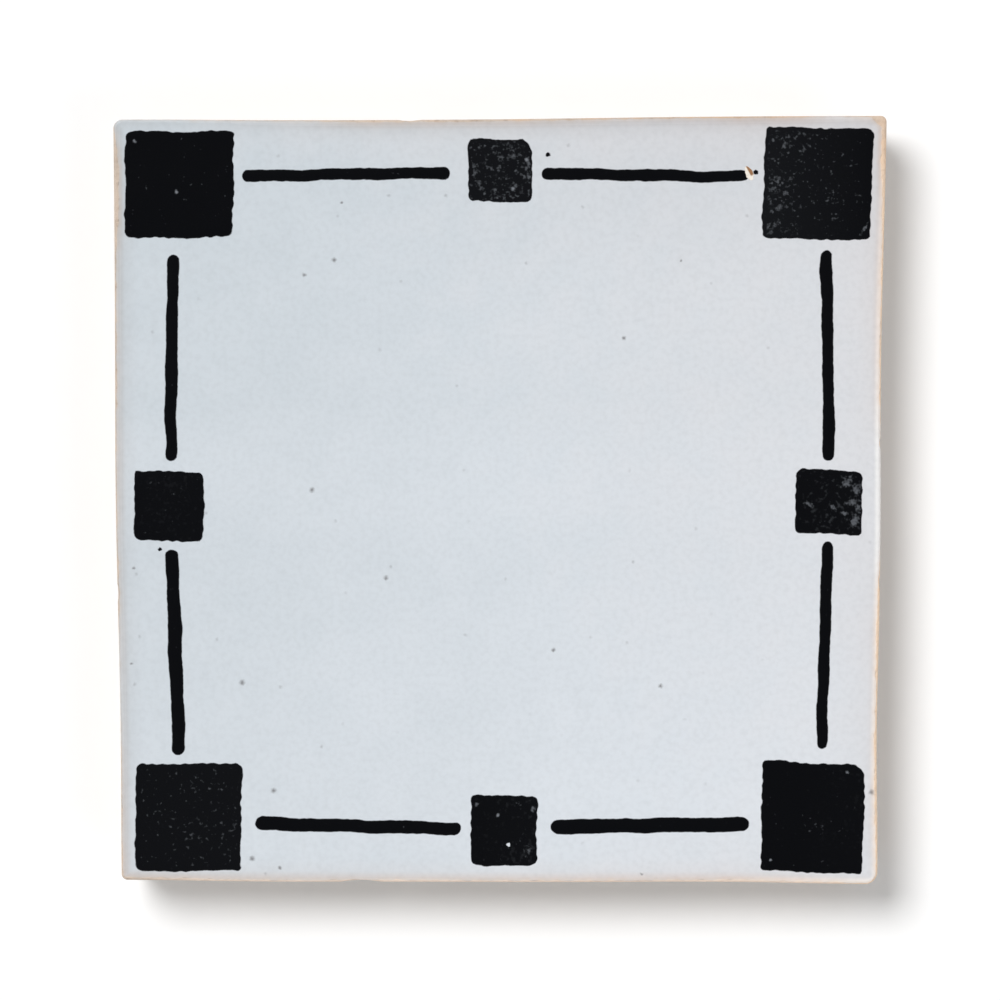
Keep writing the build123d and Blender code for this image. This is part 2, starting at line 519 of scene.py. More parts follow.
def square_distance(x, y, middle, size, rise, lean, corners):
    """Distance from the edge of a skewed square with rounded corners, less than 0 inside it."""
    across = x - middle[0] + (y - middle[1]) * tan(radians(lean))
    upward = y - middle[1] - (x - middle[0]) * tan(radians(rise))
    near = np.where(across < 0, corners[0], corners[1])
    far = np.where(across < 0, corners[3], corners[2])
    radius = np.where(upward < 0, near, far)
    across = np.abs(across) - size[0] / 2 + radius
    upward = np.abs(upward) - size[1] / 2 + radius
    outside = np.hypot(np.maximum(across, 0), np.maximum(upward, 0))
    return outside + np.minimum(np.maximum(across, upward), 0) - radius


def turned(x, y, turn):
    """How far a place lies along and aside of a line through the origin, turned left from level."""
    along = x * cos(radians(turn)) + y * sin(radians(turn))
    aside = y * cos(radians(turn)) - x * sin(radians(turn))
    return along, aside


def dash_distance(x, y, middle, length, width, turn):
    """Distance from the edge of a round-ended stroke, less than 0 inside it.

    The stroke bows by up to DASH_BOW to one side, by a share that its place settles.
    """
    along, aside = turned(x - middle[0], y - middle[1], turn)
    aside = aside - DASH_BOW * sin(7 * middle[0] + middle[1]) * (1 - (2 * along / length) ** 2)
    return np.hypot(np.maximum(np.abs(along) - (length - width) / 2, 0), aside) - width / 2


def painted_border(points):
    """Distance to the nearest painted mark, and the dust with its painted glints, the blotches and thin
    patches of the fill.

    It is the least of all the marks' distances at a point moved by the painter's slow wobble. The
    dashes' distance then shakes a little, and the squares' distance more, as their edges are ragged.
    A patch is 1 in its middle and falls evenly, to 1/2 at the edge of its ellipse.
    """
    x = points[..., 0] + HAND_SWAY * ripples(points, HAND_SWAY_LENGTH, SWAY_SEEDS[0])
    y = points[..., 1] + HAND_SWAY * ripples(points, HAND_SWAY_LENGTH, SWAY_SEEDS[1])
    shake = LINE_SHAKE * ripples(points, LINE_SHAKE_LENGTH, SHAKE_SEED) / 2
    ragged = RAGGED_EDGE * ripples(points, RAGGED_LENGTH, RAGGED_SEED) / 2
    nearest = np.full(x.shape, FAR_AWAY)
    dust_and_glints = np.zeros(x.shape)
    blotches = np.zeros(x.shape)
    for middle, length, width, turn in DASHES:
        nearest = np.minimum(nearest, dash_distance(x, y, middle, length, width, turn) + shake)
    for middle, size, rise, lean, corners, dust_and_glint_amount, blotchy, towards in SQUARES:
        distance = square_distance(x, y, middle, size, rise, lean, corners) + ragged
        drift = np.clip(1 - abs(towards) + towards * (x - middle[0]) / size[0] * 2, 0, 1)
        dust_and_glints = np.where(distance < 0, dust_and_glint_amount * drift, dust_and_glints)
        blotches = np.where(distance < 0, blotchy * drift, blotches)
        nearest = np.minimum(nearest, distance)
    patches = np.zeros(x.shape)
    for patch_x, patch_y, length, width, turn in PALE_PATCHES:
        along, aside = turned(x - patch_x, y - patch_y, turn)
        patches = np.maximum(patches, 1 - np.hypot(along / length, aside / width))
    return nearest, dust_and_glints, blotches, patches


def face_relief(points, painted):
    """What stands on the face: slow swells of the glaze, then the black glaze, which rises by a
    smooth step from its edges."""
    swell = GLAZE_SWELL * ripples(points, GLAZE_SWELL_LENGTH, SWELL_SEED) / 2
    return swell + PAINT_HEIGHT * eased(-painted, 0, PAINT_SHOULDER)


def side_values(table, stations):
    """Values along each side, as (side, station), straight between those of a table."""
    return np.array([np.interp(stations, np.linspace(0, 1, len(row)), row) for row in table])


def nearest_side(values, stations):
    """Values along the sides carried over the face, as (row, column): each point takes those of the
    side that it is nearest to."""
    inward = np.minimum(stations, 1 - stations)
    near, right, far, left = values
    level = np.where(stations[:, None] < 0.5, near[None, :], far[None, ::-1])
    upright = np.where(stations[None, :] < 0.5, left[::-1, None], right[:, None])
    return np.where(inward[:, None] < inward[None, :], level, upright)


def way_from_rim(flat):
    """How far each point of the face lies in from its rim: the least of the ways along its row and
    along its column to their ends."""
    x, y = flat[..., 0], flat[..., 1]
    level = np.minimum(x - x[:, :1], x[:, -1:] - x)
    upright = np.minimum(y - y[:1], y[-1:] - y)
    return np.minimum(level, upright)


def make_face(stations):
    """The glazed face inside its arris: points (row, column, xyz) and what the finish reads there."""
    flat = patch(outline(stations, GLAZE_ARRIS_RADIUS, GLAZE_ARRIS_RADIUS), stations)
    painted, dust_and_glints, blotches, patches = painted_border(flat)
    height = face_height(flat[..., 0], flat[..., 1]) + face_relief(flat, painted)
    ways_in = way_from_rim(flat)
    edge = nearest_side(side_values(GLAZE_EDGE, stations), stations)
    finish = {
        "painted": painted,
        "dust_and_glints": dust_and_glints,
        "blotches": blotches,
        "patches": patches,
        "bare": edge - ways_in - GLAZE_ARRIS_RADIUS * pi / 4,
        "way_in": ways_in,
        "rim_warmth": nearest_side(side_values(RIM_WARMTH, stations), stations),
        "rim_shade": nearest_side(side_values(RIM_SHADE, stations), stations),
    }
    return np.dstack([flat, height]), finish


def side_inset(height):
    """How far the side stands in at a height: a slight undercut below the face, then the bevel."""
    waist = TILE_THICKNESS - EDGE_BAND_DEPTH
    heights = [0, waist, TILE_THICKNESS + CROWN_HEIGHT]
    return np.interp(height, heights, [EDGE_BAND_UNDERCUT + BACK_BEVEL_UNDERCUT, EDGE_BAND_UNDERCUT, 0])


def outward_of(loop):
    """Unit vectors that point out of a closed loop, square to the way from each point's neighbours."""
    way = np.roll(loop, -1, axis=0) - np.roll(loop, 1, axis=0)
    way /= np.linalg.norm(way, axis=1, keepdims=True)
    return np.stack([way[:, 1], -way[:, 0]], -1)


def chisel_strokes(around, height):
    """Depth of the hollows that the chisel left: parabolas about seeded strokes, deepest in the
    middle of each, along a line that slants down the side."""
    draw = np.random.default_rng(STROKE_SEED)
    reach = around[-1]
    count = int(reach / STROKE_LENGTH)
    strokes = (np.arange(count) + draw.uniform(-STROKE_STRAY, STROKE_STRAY, count)) * reach / count
    depths = draw.uniform(STROKE_LEAST, 1.0, count)
    gap = (around + STROKE_SLANT * height)[:, None] - strokes[None, :]
    gap = np.abs((gap + reach / 2) % reach - reach / 2) / (STROKE_REACH * STROKE_LENGTH)
    return STROKE_DEPTH * (depths * np.clip(1 - gap**2, 0, 1)).max(1)


def make_rows(stations):
    """The rows of the side, from the first one past the face down to the plane of the back.

    The arris turns through a quarter circle. Below it the side follows its section, straight from the
    outline to the smaller one of the back, and is roughened along its outward direction by clay grain
    and chisel strokes, which fade in below the arris. Each row is a closed loop of xyz with its way
    in from the arris.
    """
    outer = ring(stations, 0)
    outward = outward_of(outer)
    undercut = EDGE_BAND_UNDERCUT + BACK_BEVEL_UNDERCUT
    way_under = (ring(stations, undercut) - outer) / undercut
    rows = []
    for turn in np.linspace(0, pi / 2, ARRIS_ROWS + 1)[1:]:
        inset = GLAZE_ARRIS_RADIUS * (1 - sin(turn))
        flat = ring(stations, inset, inset)
        drop = GLAZE_ARRIS_RADIUS * (1 - cos(turn))
        height = face_height(flat[:, 0], flat[:, 1]) - drop
        flat = flat + way_under * side_inset(height)[:, None]
        rows.append((np.column_stack([flat, height]), GLAZE_ARRIS_RADIUS * (pi / 4 - turn)))
    lowest = rows[-1][0][:, 2]
    waist = TILE_THICKNESS - EDGE_BAND_DEPTH
    band = np.linspace(0, 1, BAND_ROWS + 1)[1:, None]
    bevel = np.linspace(0, 1, BEVEL_ROWS + 1)[1:, None]
    heights = list(lowest + (waist - lowest) * band)
    heights += list(np.full_like(lowest, waist) + (BACK_ARRIS_CHAMFER - waist) * bevel)
    around = np.concatenate([[0], np.linalg.norm(np.diff(outer, axis=0), axis=1).cumsum()])
    from_corner = np.tile(TILE_LENGTH * np.minimum(stations, 1 - stations)[:-1], len(SIDE_WANDER))
    for height in heights:
        flat = outer + way_under * side_inset(height)[:, None]
        place = np.column_stack([flat, height])
        below = lowest - height
        fade = eased(below, *STROKE_FADE) * eased(from_corner, *STROKE_FADE)
        strokes = chisel_strokes(around, height) * fade
        rough = SIDE_ROUGHNESS * ripples(place, SIDE_ROUGH_LENGTH, SIDE_SEED) / 2 - strokes
        flat = flat + outward * (rough * eased(below, *SIDE_FADE))[:, None]
        way_in = -GLAZE_ARRIS_RADIUS * pi / 4 - below
        rows.append((np.column_stack([flat, height]), way_in))
    last, way_in = rows[-1]
    foot = last[:, :2] - outward * BACK_ARRIS_CHAMFER
    rows.append((np.column_stack([foot, np.zeros(len(foot))]), way_in - BACK_ARRIS_CHAMFER))
    return rows


def make_back(foot, stations):
    """The back, on a coarser grid inside the last row: the plane z = 0 with shallow hollows."""
    sides = foot[:, :2].reshape(4, -1, 2)
    closed = np.concatenate([sides, np.roll(sides, -1, axis=0)[:, :1]], axis=1)[:, ::BACK_STEP]
    flat = patch(closed * (1 - 2 * BACK_INSET / TILE_LENGTH), stations[::BACK_STEP])
    waves = [ripples(flat, length, seed) for length, seed in zip(BACK_HOLLOW_LENGTHS, BACK_SEEDS)]
    return np.dstack([flat, BACK_ROUGHNESS * np.clip(sum(waves), 0, None) / 2])


def knock_chips(points, balls):
    """Pushes every point that lies in one of the balls out to the ball's surface, away from its
    middle, which leaves a shell-shaped hollow. Returns the points and how deep each was inside."""
    deepest = np.zeros(len(points))
    for middle, radius in balls:
        way = points - middle
        distance = np.linalg.norm(way, axis=1)
        inside = distance < radius
        pushed = middle + way * (radius / np.maximum(distance, TINY))[:, None]
        points = np.where(inside[:, None], pushed, points)
        deepest = np.maximum(deepest, np.where(inside, radius - distance, 0))
    return points, deepest


def chip_balls(stations):
    """The balls that knock the chips and nicks out of the arris, each sized so that its bite into
    the outline has the given width and depth."""
    sides = outline(stations, 0)
    draw = np.random.default_rng(NICK_SEED)
    bites = [(side, *chip, CHIP_DROP) for side, chips in enumerate(SIDE_CHIPS) for chip in chips]
    for _ in range(RIM_NICKS):
        width = draw.uniform(*NICK_WIDTH)
        depth = draw.uniform(*NICK_DEPTH)
        bites.append((draw.integers(4), draw.uniform(*NICK_STRETCH), width, depth, NICK_DROP))
    balls = []
    for side, share, width, depth, drop in bites:
        radius = (width**2 / 4 + depth**2) / (2 * depth)
        place, ahead = [
            np.array([np.interp(at, stations, sides[side][:, axis]) for axis in (0, 1)])
            for at in (share, share + TANGENT_STEP)
        ]
        along = (ahead - place) / np.linalg.norm(ahead - place)
        middle = place + np.array([along[1], -along[0]]) * (radius - depth)
        balls.append((np.array([*middle, TILE_THICKNESS - drop]), radius))
    return balls


def quads_between(upper, lower):
    """Faces that join two closed rows of as many points, pointing outwards."""
    return np.column_stack([lower, np.roll(lower, -1), np.roll(upper, -1), upper])


def grid_quads(index):
    """Faces of a grid of point numbers, pointing up."""
    corners = [index[:-1, :-1], index[:-1, 1:], index[1:, 1:], index[1:, :-1]]
    return np.stack(corners, -1).reshape(-1, 4)


def grid_rim(index):
    """The numbers of a grid's outer points, once round from its first corner."""
    return np.concatenate([index[0, :-1], index[:-1, -1], index[-1, :0:-1], index[:0:-1, 0]])


def stitch(fine, coarse):
    """Triangles, pointing down, from a row of points in to one with a BACK_STEP-th as many."""
    step = [np.roll(fine, -shift)[::BACK_STEP] for shift in range(BACK_STEP + 1)]
    ahead = np.roll(coarse, -1)
    half = BACK_STEP // 2
    fans = [(step[i + 1], step[i], coarse if i < half else ahead) for i in range(BACK_STEP)]
    fans.append((step[half], coarse, ahead))
    return np.concatenate([np.column_stack(fan) for fan in fans])


def seen_from_above(points, low, high):
    """Places on the map of points that are seen from above, in the square from low to high."""
    share = 0.5 + points[..., :2] / (MAP_MARGIN * TILE_LENGTH)
    return low + (high - low) * share


def unrolled(stations, upper, lower):
    """Places on the map of the faces between two rows, as (face, corner, uv).

    Each side is rolled out into a strip, by how far its points lie along it and how far up, from 0
    at the back to 1 at the face. The strips lie two by two along the face, turned for every other one.
    """
    start, end = stations[:-1], stations[1:]
    along = np.stack([start, end, end, start], -1)
    up = np.broadcast_to([lower, lower, upper, upper], along.shape)
    width = (1 - FACE_ROOM) / 2
    strips = []
    for side in range(len(SIDE_WANDER)):
        level = MAP_GAP + (FACE_ROOM - 2 * MAP_GAP) * along
        base = FACE_ROOM + width * (side // 2) + MAP_GAP
        across = base + (width - 2 * MAP_GAP) * (up if side % 2 == 0 else 1 - up)
        strips.append(np.stack([level, across] if side % 2 == 0 else [across, level], -1))
    return np.concatenate(strips)


def new_mesh(name, points, faces, finish):
    """A smooth mesh object at the origin, with its points in metres and its finish as attributes."""
    mesh = bpy.data.meshes.new(name)
    mesh.from_pydata((points * MM).tolist(), [], faces)
    mesh.polygons.foreach_set("use_smooth", np.ones(len(mesh.polygons), bool))
    for key, values in finish.items():
        attribute = mesh.attributes.new(key, "FLOAT", "POINT")
        attribute.data.foreach_set("value", values.astype(np.float32))
    mesh.validate()
    made = bpy.data.objects.new(name, mesh)
    bpy.context.scene.collection.objects.link(made)
    return made


def whole_finish(finish, rows, stations, back_size):
    """What the finish reads at every point: the face's values, then those of the rows of the side and of
    the back, which are 0 where nothing else is said."""
    edge, warmth, shade = [
        side_values(table, stations)[:, :-1].ravel() for table in (GLAZE_EDGE, RIM_WARMTH, RIM_SHADE)
    ]
    side_size = len(rows) * len(edge)
    sides = {
        "painted": np.full(side_size, FAR_AWAY),
        "bare": np.concatenate([edge - way_in for _, way_in in rows]),
        "rim_warmth": np.tile(warmth, len(rows)),
        "rim_shade": np.tile(shade, len(rows)),
    }
    under = {"painted": np.full(back_size, FAR_AWAY), "bare": np.full(back_size, FAR_AWAY)}
    nothing = np.zeros(side_size), np.zeros(back_size)
    return {
        key: np.concatenate([values.ravel(), sides.get(key, nothing[0]), under.get(key, nothing[1])])
        for key, values in finish.items()
    }


def map_places(points, quads, triangles, rows, stations):
    """Places on the map of all the faces' corners, in the faces' order: the face, the back, mirrored as
    it is seen from below, the rows of the side, and the triangles between side and back."""
    depths = [GLAZE_ARRIS_RADIUS * pi / 4, *[np.mean(way_in) for _, way_in in rows]]
    ups = np.interp(depths, [depths[-1], depths[0]], [0, 1])
    mirrored = points * (-1, 1, 1)
    places = [
        seen_from_above(points[quads[0]], MAP_GAP, FACE_ROOM - MAP_GAP),
        seen_from_above(mirrored[quads[1]], FACE_ROOM + MAP_GAP, 1 - MAP_GAP),
        *[unrolled(stations, upper, lower) for upper, lower in zip(ups[:-1], ups[1:])],
        seen_from_above(mirrored[triangles], FACE_ROOM + MAP_GAP, 1 - MAP_GAP),
    ]
    return np.concatenate([place.ravel() for place in places])


def make_tile():
    """The whole tile as one closed mesh: its face, the rows of its side and its back."""
    stations = side_stations()
    face, finish = make_face(stations)
    rows = make_rows(stations)
    back = make_back(rows[-1][0], stations)
    face_index = np.arange(face[..., 0].size).reshape(face.shape[:2])
    count = len(rows[0][0])
    row_index = face_index.size + np.arange(len(rows) * count).reshape(len(rows), count)
    back_index = face_index.size + row_index.size + np.arange(back[..., 0].size).reshape(back.shape[:2])
    loops = [grid_rim(face_index), *row_index]
    quads = [grid_quads(face_index), grid_quads(back_index)[:, ::-1]]
    quads += [quads_between(upper, lower) for upper, lower in zip(loops[:-1], loops[1:])]
    triangles = stitch(loops[-1], grid_rim(back_index))
    points = np.concatenate([face.reshape(-1, 3), *[row for row, _ in rows], back.reshape(-1, 3)])
    points, chipped = knock_chips(points, chip_balls(stations))
    finish = whole_finish(finish, rows, stations, back_index.size)
    chip_bare = CHIP_BARENESS * (chipped - CHIP_CLAY_DEPTH)
    finish["bare"] = np.where(chipped > 0, np.maximum(finish["bare"], chip_bare), finish["bare"])
    faces = np.concatenate(quads).tolist() + triangles.tolist()
    made = new_mesh("tile_body", points, faces, finish)
    layer = made.data.uv_layers.new(name="OFBake")
    places = map_places(points, quads, triangles, rows, stations)
    layer.data.foreach_set("uv", places.astype(np.float32))
    return made


class Value:
    """A number that changes over a surface: a socket whose arithmetic adds Math nodes."""

    def __init__(self, graph, socket):
        self.graph = graph
        self.socket = socket

    def __add__(self, other):
        return self.graph.math("ADD", self, other)

    def __sub__(self, other):
        return self.graph.math("SUBTRACT", self, other)

    def __rsub__(self, other):
        return self.graph.math("SUBTRACT", other, self)

    def __mul__(self, other):
        return self.graph.math("MULTIPLY", self, other)

    __radd__ = __add__
    __rmul__ = __mul__

    def most(self, other):
        return self.graph.math("MAXIMUM", self, other)

    def step(self, start, end):
        """0 at start and 1 at end, smoothly between and level beyond. Start may be the larger."""
        settings = {"interpolation_type": "SMOOTHSTEP"}
        sockets = {"Value": self, "From Min": start, "From Max": end}
        return self.graph.value("ShaderNodeMapRange", settings, sockets, "Result")


class Graph:
    """A node tree that is emptied and filled anew, with one method that adds any node."""

    def __init__(self, tree):
        self.tree = tree
        tree.nodes.clear()

    def node(self, kind, settings, sockets):
        """Adds a node, applies its settings, then sets or links its sockets."""
        made = self.tree.nodes.new(kind)
        for name, setting in settings.items():
            setattr(made, name, setting)
        for name, given in sockets.items():
            if isinstance(given, Value):
                given = given.socket
            if isinstance(given, bpy.types.NodeSocket):
                self.tree.links.new(given, made.inputs[name])
            else:
                made.inputs[name].default_value = given
        return made

    def value(self, kind, settings, sockets, output):
        return Value(self, self.node(kind, settings, sockets).outputs[output])

    def math(self, operation, *terms):
        return self.value("ShaderNodeMath", {"operation": operation}, dict(enumerate(terms)), 0)

    def attribute(self, name):
        return self.value("ShaderNodeAttribute", {"attribute_name": name}, {}, "Fac")

    def blend(self, share, start, end, kind="MIX"):
        """A colour that goes from start to end, or to start times end, as share goes from 0 to 1."""
        settings = {"data_type": "RGBA", "blend_type": kind}
        return self.node("ShaderNodeMix", settings, {"Factor": share, 6: start, 7: end}).outputs[2]

    def noise(self, place, length, detail=2.0, rough=0.5):
        """Cloudy noise between 0 and 1 with patches about as long as length."""
        sockets = {"Vector": place, "Scale": 1 / length, "Detail": detail, "Roughness": rough}
        return self.value("ShaderNodeTexNoise", {}, sockets, "Fac")

    def cells(self, place, length):
        """Scattered points, one to a square of about length: the way to the nearest and its colour."""
        settings = {"voronoi_dimensions": "2D", "feature": "F1"}
        made = self.node("ShaderNodeTexVoronoi", settings, {"Vector": place, "Scale": 1 / length})
        parts = self.node("ShaderNodeSeparateColor", {}, {"Color": made.outputs["Color"]})
        chances = [Value(self, parts.outputs[channel]) for channel in ("Red", "Green")]
        return Value(self, made.outputs["Distance"]) * length, *chances

    def flattened(self, place):
        """A place without its height."""
        settings = {"operation": "MULTIPLY"}
        return self.node("ShaderNodeVectorMath", settings, {0: place, 1: (1, 1, 0)}).outputs[0]

    def way_from(self, flat, x, y):
        """The way over the face from a point of it."""
        settings = {"operation": "DISTANCE"}
        return self.value("ShaderNodeVectorMath", settings, {0: flat, 1: (x, y, 0)}, "Value")


def paint(colour):
    """A display colour from 0 to 255 as the linear colour that a node takes, by the sRGB curve."""
    shares = np.array(colour) / 255
    linear = np.where(shares <= 0.04045, shares / 12.92, ((shares + 0.055) / 1.055) ** 2.4)
    return (*linear.tolist(), 1.0)


class Coat:
    """What the layers of the finish share: the place on the tile in millimetres, noises about 0, and
    the values that the mesh carries."""

    def __init__(self, graph):
        metres = graph.node("ShaderNodeTexCoord", {}, {}).outputs["Object"]
        sockets = {0: metres, "Scale": 1 / MM}
        self.place = graph.node("ShaderNodeVectorMath", {"operation": "SCALE"}, sockets).outputs[0]
        self.flat = graph.flattened(self.place)
        axes = graph.node("ShaderNodeSeparateXYZ", {}, {0: self.place})
        self.x = Value(graph, axes.outputs["X"])
        self.y = Value(graph, axes.outputs["Y"])
        self.clouds = graph.noise(self.place, CLOUD_LENGTH, 1.0) - 0.5
        self.mottle = graph.noise(self.place, MOTTLE_LENGTH, 2.0) - 0.5
        self.speckle = graph.noise(self.place, SPECKLE_LENGTH, 1.0) - 0.5
        self.fine = graph.noise(self.place, FINE_LENGTH, 0.0) - 0.5
        self.grit = graph.noise(self.place, GRIT_LENGTH, 3.0, 0.7)
        self.painted = graph.attribute("painted") + self.speckle * PAINT_FRAY
        self.depth = graph.attribute("bare")
        self.way_in = graph.attribute("way_in")
        self.shade = graph.attribute("rim_shade")
        self.on_top = self.depth.step(*TOP_DEPTH)

    def dot(self, graph, spot, reach):
        """A round spot with a wavering outline: 0 outside it and 1 inside."""
        x, y, radius = spot
        way = graph.way_from(self.flat, x, y) + self.fine * DOT_WAVER
        return way.step(radius * reach[0], radius * reach[1])

    def rim(self, shares):
        """How near the rim is, from 0 to 1, by shares of its narrow and its wide band."""
        return self.way_in.step(*RIM_NARROW) * shares[0] + self.way_in.step(*RIM_WIDE) * shares[1]


def pinholes(graph, coat):
    """How dark the pinholes are: the clear ones where they are, and a scatter of faint ones."""
    gap, chance, size = graph.cells(coat.place, FAINT_SPACING)
    faint = (gap + coat.fine * DOT_WAVER).step(*FAINT_REACH)
    holes = faint * chance.step(*FAINT_CHANCE) * size * FAINT_SHARE
    for spot in PINHOLES:
        holes = holes.most(coat.dot(graph, spot, PINHOLE_REACH) * PINHOLE_SHARE)
    return holes


def white_glaze(graph, coat):
    """Colour of the white glaze: brighter to the near right and in a band across the middle, warmer to
    the right and along the rim, greyed at the far side by painted shade, with a painted highlight line
    along the right rim, speckles and pinholes."""
    x, y = coat.x, coat.y
    drift = 0.5 + x * (1 / BRIGHTER_RIGHT) - y * (1 / BRIGHTER_NEAR)
    drift = drift + coat.clouds * CLOUD_SWAY + coat.mottle * MOTTLE_SWAY
    drift = drift + y.step(*BAND_FAR) * y.step(*BAND_NEAR) * BAND_SHARE
    white = graph.blend(drift, paint(GLAZE_COOL), paint(GLAZE_BRIGHT))
    warmth = x * (1 / WARMER_RIGHT) + y * (1 / WARMER_FAR) + coat.mottle * WARM_SWAY
    warmth = warmth + coat.way_in.step(*WARM_MARGIN) * WARM_MARGIN_SHARE
    white = graph.blend(warmth, white, paint(GLAZE_WARM))
    # Painted highlight: a white line just in from the rim of the right side
    painted_highlight = coat.way_in.step(*PAINTED_HIGHLIGHT_BAND) * x.step(*PAINTED_HIGHLIGHT_RIGHT) * (1 - coat.shade)
    white = graph.blend(painted_highlight, white, paint(HIGHLIGHT_WHITE))
    warm_rim = graph.attribute("rim_warmth") * coat.rim(WARM_SHARES)
    white = graph.blend(warm_rim, white, paint(RIM_PINK), "MULTIPLY")
    # Painted shade: the far side is greyed, more so to the right
    painted_far_shade = y.step(*GREY_FAR) * (x * (1 / GREYER_RIGHT) + GREY_SHARE)
    white = graph.blend(painted_far_shade, white, paint(PAINTED_SHADE_GREY), "MULTIPLY")
    white = graph.blend(coat.speckle * SPECKLE_SWAY + SPECKLE_SHARE, white, paint(PINHOLE_GREY))
    return graph.blend(pinholes(graph, coat), white, paint(PINHOLE_GREY))


def thinned(graph, coat):
    """How grey the black glaze is: thinned by blotches, patches and pale specks, and by dust with painted
    glints.
    """
    dust_and_glints = graph.attribute("dust_and_glints")
    blotches = graph.attribute("blotches")
    # The crumbs are painted glints on the grain of the fill, partly thin glaze over dust
    crumbs = graph.noise(coat.place, CRUMB_LENGTH, 1.0) + coat.mottle * CRUMB_SWAY + dust_and_glints * CRUMB_DUST
    crumbs = crumbs.step(*CRUMB_LEVEL) * coat.painted.step(*CRUMB_INSIDE) * CRUMB_SHARE
    thin = crumbs + dust_and_glints * DUST_HAZE + blotches * BLOT_HAZE
    blots = graph.noise(coat.place, BLOT_LENGTH, 1.0) + coat.mottle * BLOT_SWAY
    blots = blots.step(*BLOT_LEVEL) * blotches * coat.painted.step(*BLOT_INSIDE)
    thin = thin.most(blots * BLOT_SHARE)
    patches = graph.attribute("patches") + coat.speckle * PATCH_SPECKLE + coat.fine * PATCH_FINE
    patches = patches.step(*PATCH_LEVEL) * coat.painted.step(*PATCH_INSIDE)
    thin = thin.most(patches * PATCH_SHARE)
    for spot in PALE_SPECKS:
        thin = thin.most(coat.dot(graph, spot, PALE_REACH))
    return thin


def bare_clay(graph, coat):
    """Colour of the clay: pale and orange in clouds, buff lower down, with stains, dark grit and painted
    light that makes the arris paler where the rim has little painted shade."""
    tint = coat.mottle + coat.clouds + coat.x * (1 / ORANGE_RIGHT)
    clay = graph.blend(tint.step(*ORANGE_LEVEL), paint(CLAY_PALE), paint(CLAY_ORANGE))
    clay = graph.blend(coat.depth.step(*BUFF_DEPTH) * BUFF_SHARE, clay, paint(CLAY_BUFF))
    stains = graph.noise(coat.place, STAIN_LENGTH, 3.0, 0.6).step(*STAIN_LEVEL)
    clay = graph.blend(stains * STAIN_SHARE, clay, paint(CLAY_STAIN))
    clay = graph.blend(coat.grit.step(*GRIT_LEVEL) * GRIT_SHARE, clay, paint(CLAY_DARK))
    # Painted light: the arris that faces away from the key is made paler, golden to the right
    painted_light_colour = graph.blend(coat.x.step(*PAINTED_LIGHT_GOLD_RIGHT), paint(CLAY_PAINTED_LIGHT), paint(CLAY_PAINTED_LIGHT_GOLD))
    arris = coat.depth.step(*PAINTED_LIGHT_START) * coat.depth.step(*PAINTED_LIGHT_END)
    return graph.blend(arris * coat.shade.step(*PAINTED_LIGHT_UNSHADED) * PAINTED_LIGHT_SHARE, clay, painted_light_colour)


def dash_flake(graph, coat):
    """Where the flake is broken out of a dash, as an ellipse with a frayed edge, and its colour."""
    along, aside = turned(coat.x - FLAKE_MIDDLE[0], coat.y - FLAKE_MIDDLE[1], FLAKE_TURN)
    lengthways = along * (1 / FLAKE_REACH[0])
    sideways = aside * (1 / FLAKE_REACH[1])
    out = graph.math("SQRT", lengthways * lengthways + sideways * sideways)
    flaked = (out + coat.speckle * FLAKE_FRAY).step(*FLAKE_EDGE) * coat.on_top
    brown = aside.step(*BROWN_ASIDE) * along.step(*BROWN_ALONG)
    return flaked, graph.blend(brown, paint(CLAY_CREAM), paint(CLAY_BROWN))


